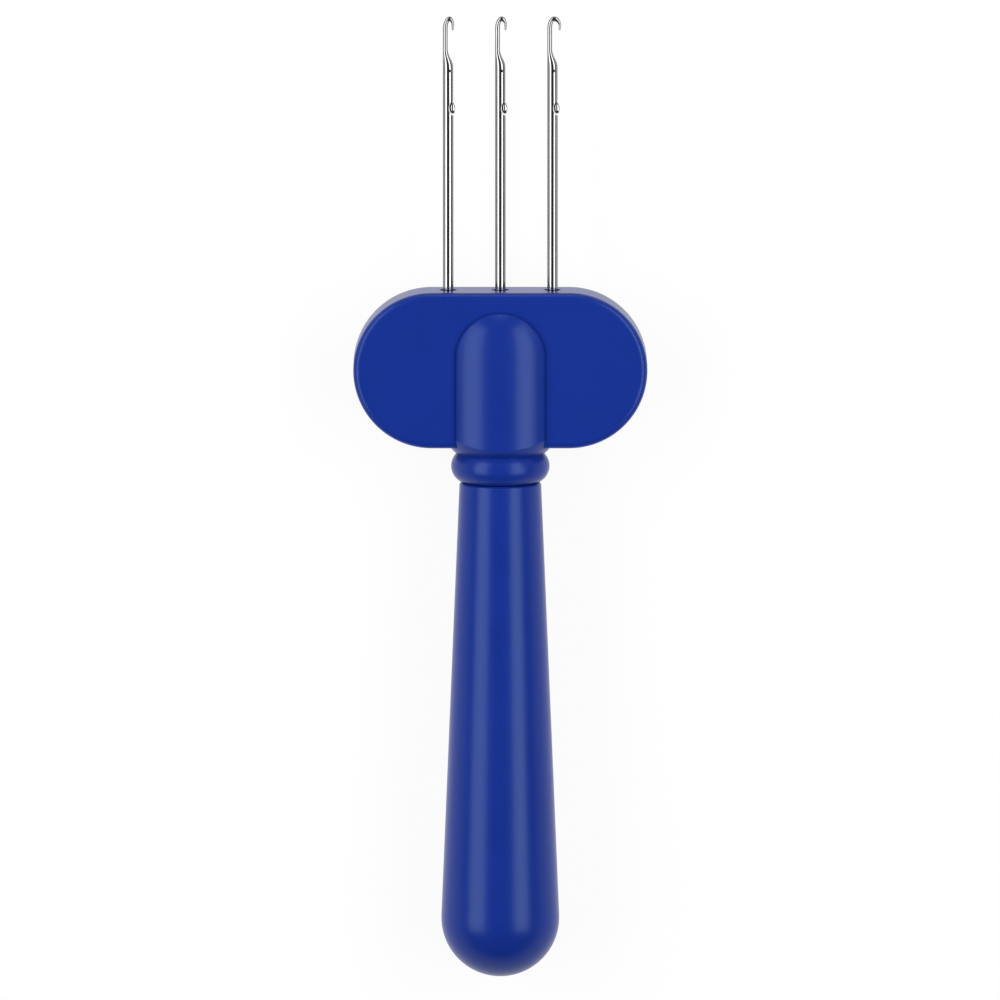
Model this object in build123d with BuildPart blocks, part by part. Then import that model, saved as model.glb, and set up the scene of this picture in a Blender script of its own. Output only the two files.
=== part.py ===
from build123d import *
import math
import os

# Latch hook tool with three needles in one head. Millimetres. The tool lies on its back.
# X runs across the row of needles, +Y towards the hooks and +Z out of the front of the head.
# The origin is where the long axis meets the face that the needles stand out of.

# Head
head_width = 56.4
head_height = 30.0
head_thickness = 12.6
head_edge_radius = 1.3
head_wall = 2.0

# Round-topped boss over the handle's spigot, the same on the front and the back
boss_half_width = 8.45
boss_crest = 9.9
boss_crown_radius = 13.5
boss_shoulder_radius = 0.7
boss_top_gap = 3.8
foot_length = 1.5
foot_radius = 9.9
foot_end_radius = 8.5
foot_round_height = 1.8

# Inside the head
core_half_width = 13.4
post_radius = 3.0
post_spread = 19.6
post_top_gap = 8.0
post_row_pitch = 14.0
pin_radius = 1.5
pin_length = 3.0
pin_clearance = 0.05
pin_end_clearance = 0.3
pin_chamfer = 0.3

# Handle
bead_ring_radius = 6.1
bead_section_radius = 3.36
bead_end_gap = 0.05
bead_half_height_top = 2.4
bead_half_height_end = 3.25
grip_top_radius = 7.85
grip_top_chamfer = 0.25
grip_length = 84.3
grip_end_radius = 11.35
spigot_radius = 6.3
spigot_gap = 2.75
spigot_chamfer = 0.6
spigot_clearance = 0.05
spigot_end_clearance = 0.4
flange_radius = 7.7
flange_length = 3.0
flange_inset = 4.0
flange_flat_width = 13.4

# Needles
needle_names = ("left", "middle", "right")
needle_pitch = 10.0
needle_length = 52.7
shank_radius = 1.0
shank_clearance = 0.02
needle_hole_radius = 1.65
needle_hole_depth = 1.5
paddle_width = 3.6
paddle_thickness = 1.2
paddle_length = 3.5
paddle_corner_radius = 0.8
paddle_clearance = 0.05
needle_inner_length = 12.6

# Hook of each needle, with its reach from the needle's axis as bent
hook_reaches = (1.16, 1.28, 1.66)
stem_diameter = 0.92
hook_thickness = 0.95
hook_apex_offset = 0.3
hook_rear_drop = 2.3
hook_front_drop = 1.75
hook_inner_front_drop = 0.8
hook_front_thickness = 0.52
tip_drop = 2.65
tip_turn_in = 0.28
tip_radius = 0.19
tip_round_angles = (0.0, 40.0, 72.0)
hook_steps = 12
ramp_start_drop = 6.4
ramp_end_drop = 9.7
ramp_steps = 6

# Slot, rivet and the scoop where the open latch rests
rivet_drop = 10.4
rivet_offset = 0.25
rivet_radius = 0.28
rivet_length = 1.96
rivet_end_chamfer = 0.07
rivet_clearance = 0.04
slot_width = 0.56
slot_side_clearance = 0.05
slot_floor_clearance = 0.1
slot_top_drop = 7.6
scoop_depth = 0.88
scoop_end_clearance = 0.36

# Latch
latch_rest_lean = 3.5
latch_length = 8.35
eye_radius = 0.55
blade_root_half_width = 0.4
blade_half_width = 0.22
spoon_half_length = 1.08
spoon_radius = 0.6
spoon_offset = 0.15
spoon_rim = 0.5
spoon_wall = 0.18
spoon_end_wall = 0.26
spoon_hollow_offset = 0.1
blade_end_share = 0.5

# Room that a cut runs past what it cuts
overrun = 1.0

# Places worked out from the sizes above
front_face = head_thickness / 2
foot_end = head_height + foot_length
arch_drop = boss_top_gap + boss_half_width
crown_drop = boss_crown_radius - math.sqrt(boss_crown_radius**2 - boss_half_width**2)
boss_side = boss_crest - crown_drop
pocket_depth = front_face - head_wall
bead_top_y = -foot_end - bead_end_gap
bead_y = bead_top_y - bead_half_height_top
grip_top_y = bead_y - bead_half_height_end
grip_centre_y = grip_top_y - grip_length
spigot_top_y = -needle_inner_length - spigot_gap
flange_top_y = spigot_top_y - flange_inset
latch_thickness = slot_width - 2 * slot_side_clearance
pivot_y = needle_length - rivet_drop
needle_places = [(index - len(needle_names) // 2) * needle_pitch for index in range(len(needle_names))]
paddle_y = paddle_length / 2 - needle_inner_length


def bead_edge(half_height):
    """Radius of the bead where it is cut off at this height from its fullest place."""
    return bead_ring_radius + math.sqrt(bead_section_radius**2 - half_height**2)


# Boss, straight over the spigot and domed at its upper end, with a rounded foot
with BuildPart() as boss_form:
    with BuildSketch(Plane.XZ.offset(arch_drop)) as boss_section:
        with BuildLine():
            left_side = Line((-boss_half_width, -boss_side), (-boss_half_width, boss_side))
            ThreePointArc(left_side @ 1, (0, boss_crest), (boss_half_width, boss_side))
            right_side = Line((boss_half_width, boss_side), (boss_half_width, -boss_side))
            ThreePointArc(right_side @ 1, (0, -boss_crest), left_side @ 0)
        make_face()
        fillet(boss_section.vertices(), boss_shoulder_radius)
    extrude(amount=foot_end - arch_drop)
    with BuildSketch(Plane.XZ.offset(arch_drop)):
        add(boss_section.sketch_local)
        with Locations((-boss_half_width, 0)):
            Rectangle(2 * boss_half_width, 2 * boss_crest + overrun, mode=Mode.SUBTRACT)
    revolve(axis=Axis((0, -arch_drop, 0), (0, 0, 1)), revolution_arc=math.degrees(math.pi))
    with BuildSketch(Plane.XZ.offset(head_height / 2)):
        Circle(foot_radius)
    extrude(amount=foot_end - head_height / 2)
    with BuildSketch(Plane.XY):
        corner_radius = math.hypot(boss_half_width, boss_side)
        with BuildLine():
            sides = Polyline(
                (foot_end_radius, -foot_end),
                (0, -foot_end),
                (0, overrun),
                (corner_radius, overrun),
                (corner_radius, foot_round_height - head_height),
            )
            ThreePointArc(sides @ 1, (foot_radius, -head_height), sides @ 0)
        make_face()
    revolve(axis=Axis.Y, mode=Mode.INTERSECT)

# Whole head with its inner spaces, before it is parted into two shells
with BuildPart() as head_form:
    with BuildSketch(Plane.XY.offset(-front_face)):
        with Locations((0, -head_height / 2)):
            SlotOverall(head_width, head_height)
    extrude(amount=head_thickness)
    fillet(head_form.faces().filter_by(Axis.Z).edges(), head_edge_radius)
    add(boss_form.part)
    # Pockets on both sides of the core, with a post at each locating pin
    with BuildSketch(Plane.XY.offset(-pocket_depth)):
        with Locations((0, -head_height / 2)):
            SlotOverall(head_width - 2 * head_wall, head_height - 2 * head_wall)
            Rectangle(2 * core_half_width, head_height, mode=Mode.SUBTRACT)
        with Locations((0, -post_top_gap - post_row_pitch / 2)):
            with GridLocations(2 * post_spread, post_row_pitch, 2, 2):
                Circle(post_radius, mode=Mode.SUBTRACT)
    extrude(amount=2 * pocket_depth, mode=Mode.SUBTRACT)
    # Seat of the spigot and its flange
    with BuildSketch(Plane.XZ.offset(-spigot_top_y - spigot_end_clearance)):
        Circle(spigot_radius + spigot_clearance)
    extrude(amount=foot_end + spigot_top_y + spigot_end_clearance + overrun, mode=Mode.SUBTRACT)
    with BuildSketch(Plane.XZ.offset(-flange_top_y - spigot_clearance)):
        Circle(flange_radius + spigot_clearance)
        Rectangle(head_width, flange_flat_width + 2 * spigot_clearance, mode=Mode.INTERSECT)
    extrude(amount=flange_length + 2 * spigot_clearance, mode=Mode.SUBTRACT)
    # Seat of each needle, wider where it leaves the head
    for place in needle_places:
        with BuildSketch(Plane.XZ.offset(-overrun)):
            with Locations((place, 0)):
                Circle(needle_hole_radius)
        extrude(amount=needle_hole_depth + overrun, mode=Mode.SUBTRACT)
        with BuildSketch(Plane.XZ):
            with Locations((place, 0)):
                Circle(shank_radius + shank_clearance)
        extrude(amount=needle_inner_length - paddle_length / 2, mode=Mode.SUBTRACT)
        with Locations((place, paddle_y, 0)):
            Box(
                paddle_width + 2 * paddle_clearance,
                paddle_length + 2 * paddle_clearance,
                paddle_thickness + 2 * paddle_clearance,
                mode=Mode.SUBTRACT,
            )

# Front shell, with the sockets of the locating pins
with BuildPart() as head_front_shell:
    add(head_form.part)
    split(bisect_by=Plane.XY, keep=Keep.TOP)
    with BuildSketch(Plane.XY):
        with Locations((0, -post_top_gap - post_row_pitch / 2)):
            with GridLocations(2 * post_spread, post_row_pitch, 2, 2):
                Circle(pin_radius + pin_clearance)
    extrude(amount=pin_length + pin_end_clearance, mode=Mode.SUBTRACT)

# Back shell, with the locating pins
with BuildPart() as head_back_shell:
    add(head_form.part)
    split(bisect_by=Plane.XY, keep=Keep.BOTTOM)
    with BuildSketch(Plane.XY):
        with Locations((0, -post_top_gap - post_row_pitch / 2)):
            with GridLocations(2 * post_spread, post_row_pitch, 2, 2):
                Circle(pin_radius)
    extrude(amount=pin_length)
    pin_ends = head_back_shell.faces().group_by(Axis.Z)[-1]
    chamfer(pin_ends.edges(), pin_chamfer)

# Handle, turned about the long axis: spigot, bead, and a grip that swells to its round end
with BuildPart() as handle:
    with BuildSketch(Plane.XY):
        grip_slope = math.hypot(grip_top_radius, grip_length)
        end_turn = math.asin(grip_end_radius / grip_slope)
        taper = math.degrees(end_turn - math.atan(grip_top_radius / grip_length))
        with BuildLine():
            Polyline(
                (0, spigot_top_y),
                (spigot_radius, spigot_top_y),
                (spigot_radius, bead_top_y),
                (bead_edge(bead_half_height_top), bead_top_y),
            )
            bead = ThreePointArc(
                (bead_edge(bead_half_height_top), bead_top_y),
                (bead_ring_radius + bead_section_radius, bead_y),
                (bead_edge(bead_half_height_end), grip_top_y),
            )
            grip_end = CenterArc((0, grip_centre_y), grip_end_radius, taper, -90 - taper)
            Polyline(
                bead @ 1,
                (grip_top_radius - grip_top_chamfer, grip_top_y),
                (grip_top_radius, grip_top_y - grip_top_chamfer),
                grip_end @ 0,
            )
            Line(grip_end @ 1, (0, spigot_top_y))
        make_face()
    revolve(axis=Axis.Y)
    chamfer(handle.edges().sort_by(Axis.Y)[-1], spigot_chamfer)
    with BuildSketch(Plane.XZ.offset(-flange_top_y)):
        Circle(flange_radius)
        Rectangle(head_width, flange_flat_width, mode=Mode.INTERSECT)
    extrude(amount=flange_length)


def make_needle(axis_x, reach):
    """One needle: paddle, shank, slotted cheeks, scoop, thin stem and the tapered hook."""
    # Widest points of each round section, its outer side first: up the ramp and the stem
    outer_x = axis_x - shank_radius
    sections = []
    for step in range(ramp_steps + 1):
        turn = step / ramp_steps
        width = stem_diameter + (2 * shank_radius - stem_diameter) * (1 + math.cos(math.pi * turn)) / 2
        y = needle_length - ramp_end_drop + turn * (ramp_end_drop - ramp_start_drop)
        sections.append(((outer_x, y), (outer_x + width, y)))
    # Over the hook's bend, whose front is thinner than its rear
    for step in range(hook_steps + 1):
        turn = step / hook_steps
        along = math.cos(math.pi * (1 - turn))
        up = math.sin(math.pi * turn)
        if turn > 1 / 2:
            span = reach - hook_apex_offset
            thickness = hook_front_thickness
            drop = hook_front_drop
            inner_drop = hook_inner_front_drop
        else:
            span = hook_apex_offset + shank_radius
            thickness = stem_diameter
            drop = hook_rear_drop
            inner_drop = hook_rear_drop - hook_thickness
        middle_x = axis_x + hook_apex_offset
        outer = (middle_x + span * along, needle_length - drop * (1 - up))
        inner_y = needle_length - hook_thickness - inner_drop * (1 - up)
        inner = (middle_x + (span - thickness) * along, inner_y)
        sections.append((outer, inner))
    # Round the tip
    tip_x = axis_x + reach - tip_turn_in
    for angle in tip_round_angles:
        radius = tip_radius * math.cos(math.radians(angle))
        y = needle_length - tip_drop + tip_radius * (1 - math.sin(math.radians(angle)))
        sections.append(((tip_x + radius, y), (tip_x - radius, y)))

    with BuildPart() as needle:
        for pair in zip(sections, sections[1:]):
            for outer, inner in pair:
                across = Vector(*outer) - Vector(*inner)
                middle = (Vector(*outer) + Vector(*inner)) / 2
                with BuildSketch(Plane(middle, x_dir=across, z_dir=across.cross(Vector(0, 0, 1)))):
                    Circle(across.length / 2)
            loft(ruled=True)
        # Shank and the flattened end inside the head
        with BuildSketch(Plane.XZ.offset(ramp_end_drop - needle_length)):
            with Locations((axis_x, 0)):
                Circle(shank_radius)
        extrude(amount=needle_length - ramp_end_drop + needle_inner_length - paddle_length / 2)
        with BuildSketch(Plane.XY.offset(-paddle_thickness / 2)):
            with Locations((axis_x, paddle_y)):
                RectangleRounded(paddle_width, paddle_length, paddle_corner_radius)
        extrude(amount=paddle_thickness)
        # Slot between the cheeks, down to the scoop
        slot_floor = axis_x + rivet_offset - eye_radius - slot_floor_clearance
        spoon_y = pivot_y - latch_length + spoon_half_length
        slot_top = needle_length - slot_top_drop
        with BuildSketch(Plane.XY.offset(-slot_width / 2)):
            with Locations((slot_floor, spoon_y)):
                Rectangle(2 * shank_radius, slot_top - spoon_y, align=(Align.MIN, Align.MIN))
        extrude(amount=slot_width, mode=Mode.SUBTRACT)
        with BuildSketch(Plane.XY.offset(-shank_radius)):
            with Locations((axis_x + shank_radius, spoon_y)):
                Ellipse(scoop_depth, spoon_half_length + scoop_end_clearance)
        extrude(amount=2 * shank_radius, mode=Mode.SUBTRACT)
        # Hole of the rivet
        with BuildSketch(Plane.XY.offset(-shank_radius)):
            with Locations((axis_x + rivet_offset, pivot_y)):
                Circle(rivet_radius)
        extrude(amount=2 * shank_radius, mode=Mode.SUBTRACT)
    return needle


def make_rivet(axis_x):
    """Pin across both cheeks, with its ends chamfered."""
    with BuildPart() as rivet:
        with BuildSketch(Plane.XY.offset(-rivet_length / 2)):
            with Locations((axis_x + rivet_offset, pivot_y)):
                Circle(rivet_radius)
        extrude(amount=rivet_length)
        chamfer(rivet.edges().filter_by(GeomType.CIRCLE), rivet_end_chamfer)
    return rivet


def make_latch(axis_x):
    """Latch as it lies open: eye round the rivet, tapered blade, and a hollow spoon."""
    lean = math.radians(latch_rest_lean)
    across = (math.cos(lean), math.sin(lean), 0)
    plane = Plane((axis_x + rivet_offset, pivot_y, 0), x_dir=across, z_dir=(0, 0, 1))
    spoon_y = spoon_half_length - latch_length
    blade_end = spoon_y + spoon_half_length * blade_end_share
    hollow_x = spoon_offset + spoon_hollow_offset
    inner_side = (Align.MAX, Align.CENTER)
    outer_side = (Align.MIN, Align.CENTER)
    with BuildPart() as latch:
        with BuildSketch(plane.offset(-latch_thickness / 2)):
            Circle(eye_radius)
            with BuildLine():
                Polyline(
                    (-blade_root_half_width, 0),
                    (blade_root_half_width, 0),
                    (blade_half_width, blade_end),
                    (-blade_half_width, blade_end),
                    close=True,
                )
            make_face()
        extrude(amount=latch_thickness)
        with BuildSketch(plane):
            with Locations((spoon_offset, spoon_y)):
                Ellipse(spoon_radius, spoon_half_length)
                Rectangle(spoon_radius, 2 * spoon_half_length, align=inner_side, mode=Mode.SUBTRACT)
        revolve(axis=Axis(plane.from_local_coords((spoon_offset, 0, 0)), plane.y_dir))
        # Rim, and the hollow that closes over the hook's tip
        with BuildSketch(plane.offset(-spoon_radius)):
            with Locations((spoon_rim, spoon_y)):
                Rectangle(spoon_radius, 2 * spoon_half_length, align=outer_side)
        extrude(amount=2 * spoon_radius, mode=Mode.SUBTRACT)
        with BuildSketch(plane):
            with Locations((hollow_x, spoon_y)):
                Ellipse(spoon_radius - spoon_wall, spoon_half_length - spoon_end_wall)
                Rectangle(spoon_radius, 2 * spoon_half_length, align=inner_side, mode=Mode.SUBTRACT)
        revolve(axis=Axis(plane.from_local_coords((hollow_x, 0, 0)), plane.y_dir), mode=Mode.SUBTRACT)
        with BuildSketch(plane.offset(-latch_thickness / 2)):
            Circle(rivet_radius + rivet_clearance)
        extrude(amount=latch_thickness, mode=Mode.SUBTRACT)
    return latch


# Every piece by name
pieces = {
    "head_front_shell": head_front_shell,
    "head_back_shell": head_back_shell,
    "handle": handle,
}
for name, place, reach in zip(needle_names, needle_places, hook_reaches):
    pieces[name + "_needle"] = make_needle(place, reach)
    pieces[name + "_latch"] = make_latch(place)
    pieces[name + "_rivet"] = make_rivet(place)

os.makedirs("parts", exist_ok=True)
for name, piece in pieces.items():
    piece.part.label = name
    export_step(piece.part, f"parts/{name}.step")
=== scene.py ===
import math

import bmesh
import bpy
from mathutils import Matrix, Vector


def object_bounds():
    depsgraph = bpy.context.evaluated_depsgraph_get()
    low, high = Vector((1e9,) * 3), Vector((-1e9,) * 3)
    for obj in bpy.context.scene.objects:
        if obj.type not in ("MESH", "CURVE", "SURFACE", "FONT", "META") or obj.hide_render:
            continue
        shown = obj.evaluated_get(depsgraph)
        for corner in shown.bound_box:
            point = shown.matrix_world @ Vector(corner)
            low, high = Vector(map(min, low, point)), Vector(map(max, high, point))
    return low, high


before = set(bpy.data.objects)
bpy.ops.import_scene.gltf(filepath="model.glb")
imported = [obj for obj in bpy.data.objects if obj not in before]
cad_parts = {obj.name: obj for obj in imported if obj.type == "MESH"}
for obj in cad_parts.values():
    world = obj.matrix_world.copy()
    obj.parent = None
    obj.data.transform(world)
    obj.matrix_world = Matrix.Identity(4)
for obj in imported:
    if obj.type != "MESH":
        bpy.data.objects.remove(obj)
cad_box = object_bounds()

# lengths are in metres, in the part's own frame
frame_width = 0.192
view_tilt = math.radians(7)
view_centre = Vector((-0.00006, -0.0406, 0))
lens_mm = 800
sensor_mm = 36

floor_radius = 6.0
floor_rise = 1.2
floor_segments = 96
floor_bend_degrees = 90
floor_bend_steps = 8
floor_glow_share = 0.92
floor_glow = 1
floor_colour = (0.9, 0.9, 0.9, 1)

# side, angle from straight above, width across the tool, power
softboxes = (
    ("softbox_left", -1, math.radians(47), 0.35, 4.3),
    ("softbox_right", 1, math.radians(42), 0.30, 4.0),
)
softbox_distance = 0.60
softbox_length = 0.90
softbox_centre = Vector((0, 0.12, 0))
end_light_angle = math.radians(69)
end_light_size = 0.22
end_light_power = 0.55
room_light = 0.08
room_colour = (1, 1, 1, 1)

head_nodes = ("head_front_shell", "head_back_shell")
needle_nodes = ("left_needle", "middle_needle", "right_needle")
latch_nodes = ("left_latch", "middle_latch", "right_latch")
rivet_nodes = ("left_rivet", "middle_rivet", "right_rivet")

# blue plastic: the two ends of its colour and roughness, its sheen, and the grain and depth of its moulded skin
plastic_colours = ((0.0048, 0.0225, 0.205), (0.0066, 0.027, 0.245))
plastic_rough = (0.25, 0.33)
plastic_ior = 1.5
plastic_sheen = 0.24
plastic_sheen_tint = (0.6, 0.82, 1, 1)
cloud_grain = 0.012
cloud_detail = 3.0
peel_grain = 0.0016
peel_detail = 1.0
peel_depth = 0.000006
skin_grain = 0.00028
skin_detail = 2.0
skin_depth = 0.0000012

# steel: the two ends of each colour and roughness, the light its edges keep, its haze and its draw marks
needle_colours = ((0.29, 0.293, 0.30), (0.33, 0.333, 0.34))
needle_rough = (0.06, 0.10)
needle_edge = 0.3
latch_colours = ((0.32, 0.323, 0.33), (0.36, 0.363, 0.37))
latch_rough = (0.10, 0.15)
latch_edge = 0.35
steel_detail = 3.0
haze_grain = 0.004
haze_span = (0.2, 0.8)
draw_grain = 0.00022
draw_stretch = (1, 0.03, 1)
draw_span = (0.55, 0.75)
draw_rough = (0, 0.06)
draw_depth = 0.0000015


def new_material(name):
    """A material with its shader, its output and the object's own coordinates."""
    material = bpy.data.materials.new(name)
    material.use_nodes = True
    tree = material.node_tree
    tree.nodes.clear()
    shader = tree.nodes.new("ShaderNodeBsdfPrincipled")
    output = tree.nodes.new("ShaderNodeOutputMaterial")
    tree.links.new(shader.outputs["BSDF"], output.inputs["Surface"])
    place = tree.nodes.new("ShaderNodeTexCoord")
    return material, tree, shader, place.outputs["Object"]


def stretched(tree, place, stretch):
    """The coordinates stretched along each axis."""
    mapping = tree.nodes.new("ShaderNodeMapping")
    mapping.inputs["Scale"].default_value = stretch
    tree.links.new(place, mapping.inputs["Vector"])
    return mapping.outputs["Vector"]


def noise(tree, place, grain, detail):
    """Noise with grains of about that size."""
    node = tree.nodes.new("ShaderNodeTexNoise")
    node.inputs["Scale"].default_value = 1 / grain
    node.inputs["Detail"].default_value = detail
    tree.links.new(place, node.inputs["Vector"])
    return node.outputs["Fac"]


def ranged(tree, value, span, result=(0, 1)):
    """A value moved from one range to another."""
    node = tree.nodes.new("ShaderNodeMapRange")
    node.inputs["From Min"].default_value = span[0]
    node.inputs["From Max"].default_value = span[1]
    node.inputs["To Min"].default_value = result[0]
    node.inputs["To Max"].default_value = result[1]
    tree.links.new(value, node.inputs["Value"])
    return node.outputs["Result"]


def math_node(tree, operation, first, second):
    """One operation on two values, each a number or another node's output."""
    node = tree.nodes.new("ShaderNodeMath")
    node.operation = operation
    for socket, value in zip(node.inputs, (first, second)):
        if isinstance(value, (int, float)):
            socket.default_value = value
        else:
            tree.links.new(value, socket)
    return node.outputs["Value"]


def colour_mix(tree, share, first, second):
    """A colour between two, by the share of the second."""
    node = tree.nodes.new("ShaderNodeMix")
    node.data_type = "RGBA"
    node.inputs["A"].default_value = (*first, 1)
    node.inputs["B"].default_value = (*second, 1)
    tree.links.new(share, node.inputs["Factor"])
    return node.outputs["Result"]


def bump(tree, height, depth, under=None):
    """A bump of that depth in metres, on top of another one."""
    node = tree.nodes.new("ShaderNodeBump")
    node.inputs["Distance"].default_value = depth
    tree.links.new(height, node.inputs["Height"])
    if under is not None:
        tree.links.new(under, node.inputs["Normal"])
    return node.outputs["Normal"]


def blue_plastic():
    """Moulded plastic: satin, its gloss and colour a little uneven."""
    material, tree, shader, place = new_material("blue_plastic_finish")
    clouds = noise(tree, place, cloud_grain, cloud_detail)
    tree.links.new(colour_mix(tree, clouds, *plastic_colours), shader.inputs["Base Color"])
    tree.links.new(ranged(tree, clouds, (0, 1), plastic_rough), shader.inputs["Roughness"])
    shader.inputs["IOR"].default_value = plastic_ior
    shader.inputs["Specular IOR Level"].default_value = plastic_sheen
    shader.inputs["Specular Tint"].default_value = plastic_sheen_tint
    peel = bump(tree, noise(tree, place, peel_grain, peel_detail), peel_depth)
    skin = bump(tree, noise(tree, place, skin_grain, skin_detail), skin_depth, peel)
    tree.links.new(skin, shader.inputs["Normal"])
    return material


def steel(name, colours, roughness, edge):
    """Polished steel with fine draw marks along the needles and a faint haze of handling."""
    material, tree, shader, place = new_material(name)
    shader.inputs["Metallic"].default_value = 1
    shader.inputs["Specular Tint"].default_value = (edge, edge, edge, 1)
    haze = noise(tree, place, haze_grain, steel_detail)
    tree.links.new(colour_mix(tree, ranged(tree, haze, haze_span), *colours), shader.inputs["Base Color"])
    drawn = noise(tree, stretched(tree, place, draw_stretch), draw_grain, steel_detail)
    handled = ranged(tree, haze, haze_span, roughness)
    rough = math_node(tree, "ADD", handled, ranged(tree, drawn, draw_span, draw_rough))
    tree.links.new(rough, shader.inputs["Roughness"])
    tree.links.new(bump(tree, drawn, draw_depth), shader.inputs["Normal"])
    return material


def dress(nodes, material):
    """The CAD nodes keep their meshes and get the material."""
    for name in nodes:
        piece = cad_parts[name]
        piece.data.materials.clear()
        piece.data.materials.append(material)


def floor(level):
    """A plain white floor that bends up into a backdrop far out.

    It keeps the shadow, and shows white to the lens and in the metal.
    """
    shape = bmesh.new()
    loops = []
    for step in range(floor_bend_steps + 1):
        bend = math.radians(floor_bend_degrees * step / floor_bend_steps)
        radius = floor_radius + floor_rise * math.sin(bend)
        height = level + floor_rise * (1 - math.cos(bend))
        turns = [2 * math.pi * corner / floor_segments for corner in range(floor_segments)]
        loops.append([shape.verts.new((radius * math.cos(t), radius * math.sin(t), height)) for t in turns])
    shape.faces.new(loops[0])
    for lower, upper in zip(loops, loops[1:]):
        for step in range(floor_segments):
            after = (step + 1) % floor_segments
            shape.faces.new((lower[step], lower[after], upper[after], upper[step]))
    mesh = bpy.data.meshes.new("floor")
    shape.to_mesh(mesh)
    shape.free()
    made = bpy.data.objects.new("floor", mesh)
    bpy.context.collection.objects.link(made)
    material = bpy.data.materials.new("floor_white")
    material.use_nodes = True
    tree = material.node_tree
    tree.nodes.clear()
    matt = tree.nodes.new("ShaderNodeBsdfDiffuse")
    matt.inputs["Color"].default_value = floor_colour
    glow = tree.nodes.new("ShaderNodeEmission")
    glow.inputs["Strength"].default_value = floor_glow
    ray = tree.nodes.new("ShaderNodeLightPath")
    seen = math_node(tree, "MAXIMUM", ray.outputs["Is Camera Ray"], ray.outputs["Is Glossy Ray"])
    seen = math_node(tree, "MAXIMUM", seen, ray.outputs["Is Transmission Ray"])
    share = math_node(tree, "MULTIPLY", seen, floor_glow_share)
    both = tree.nodes.new("ShaderNodeMixShader")
    tree.links.new(share, both.inputs["Fac"])
    tree.links.new(matt.outputs["BSDF"], both.inputs[1])
    tree.links.new(glow.outputs["Emission"], both.inputs[2])
    output = tree.nodes.new("ShaderNodeOutputMaterial")
    tree.links.new(both.outputs["Shader"], output.inputs["Surface"])
    made.data.materials.append(material)


def area_light(name, away, width, length, power):
    """A softbox that stands off in that direction and faces the tool, its length along it."""
    data = bpy.data.lights.new(name, "AREA")
    data.shape = "RECTANGLE"
    data.size = length
    data.size_y = width
    data.energy = power
    lamp = bpy.data.objects.new(name, data)
    bpy.context.collection.objects.link(lamp)
    lamp.visible_camera = False
    lamp.location = softbox_centre + away * softbox_distance
    lamp.rotation_mode = "QUATERNION"
    lamp.rotation_quaternion = (softbox_centre - lamp.location).to_track_quat("-Z", "Y")


def lights():
    """Two long softboxes beside the tool and a small, low one beyond its needle end."""
    for name, side, angle, width, power in softboxes:
        away = Vector((side * math.sin(angle), 0, math.cos(angle)))
        area_light(name, away, width, softbox_length, power)
    away = Vector((0, math.sin(end_light_angle), math.cos(end_light_angle)))
    area_light("softbox_top", away, end_light_size, end_light_size, end_light_power)


def surroundings():
    """The room seen by what points past the floor and the softboxes."""
    world = bpy.data.worlds.new("room")
    world.use_nodes = True
    world.node_tree.nodes["Background"].inputs["Color"].default_value = room_colour
    world.node_tree.nodes["Background"].inputs["Strength"].default_value = room_light
    bpy.context.scene.world = world


def camera():
    """A long lens over the tool, a little towards its needle end."""
    data = bpy.data.cameras.new("camera")
    data.lens = lens_mm
    data.sensor_width = sensor_mm
    made = bpy.data.objects.new("camera", data)
    bpy.context.collection.objects.link(made)
    distance = lens_mm / sensor_mm * frame_width
    made.location = view_centre + distance * Vector((0, math.sin(view_tilt), math.cos(view_tilt)))
    made.rotation_euler = (-view_tilt, 0, 0)
    bpy.context.scene.camera = made


dress((*head_nodes, "handle"), blue_plastic())
dress(needle_nodes, steel("needle_finish", needle_colours, needle_rough, needle_edge))
dress((*latch_nodes, *rivet_nodes), steel("latch_finish", latch_colours, latch_rough, latch_edge))
floor(cad_box[0].z)
lights()
surroundings()
camera()

bpy.context.scene.view_settings.view_transform = "Standard"
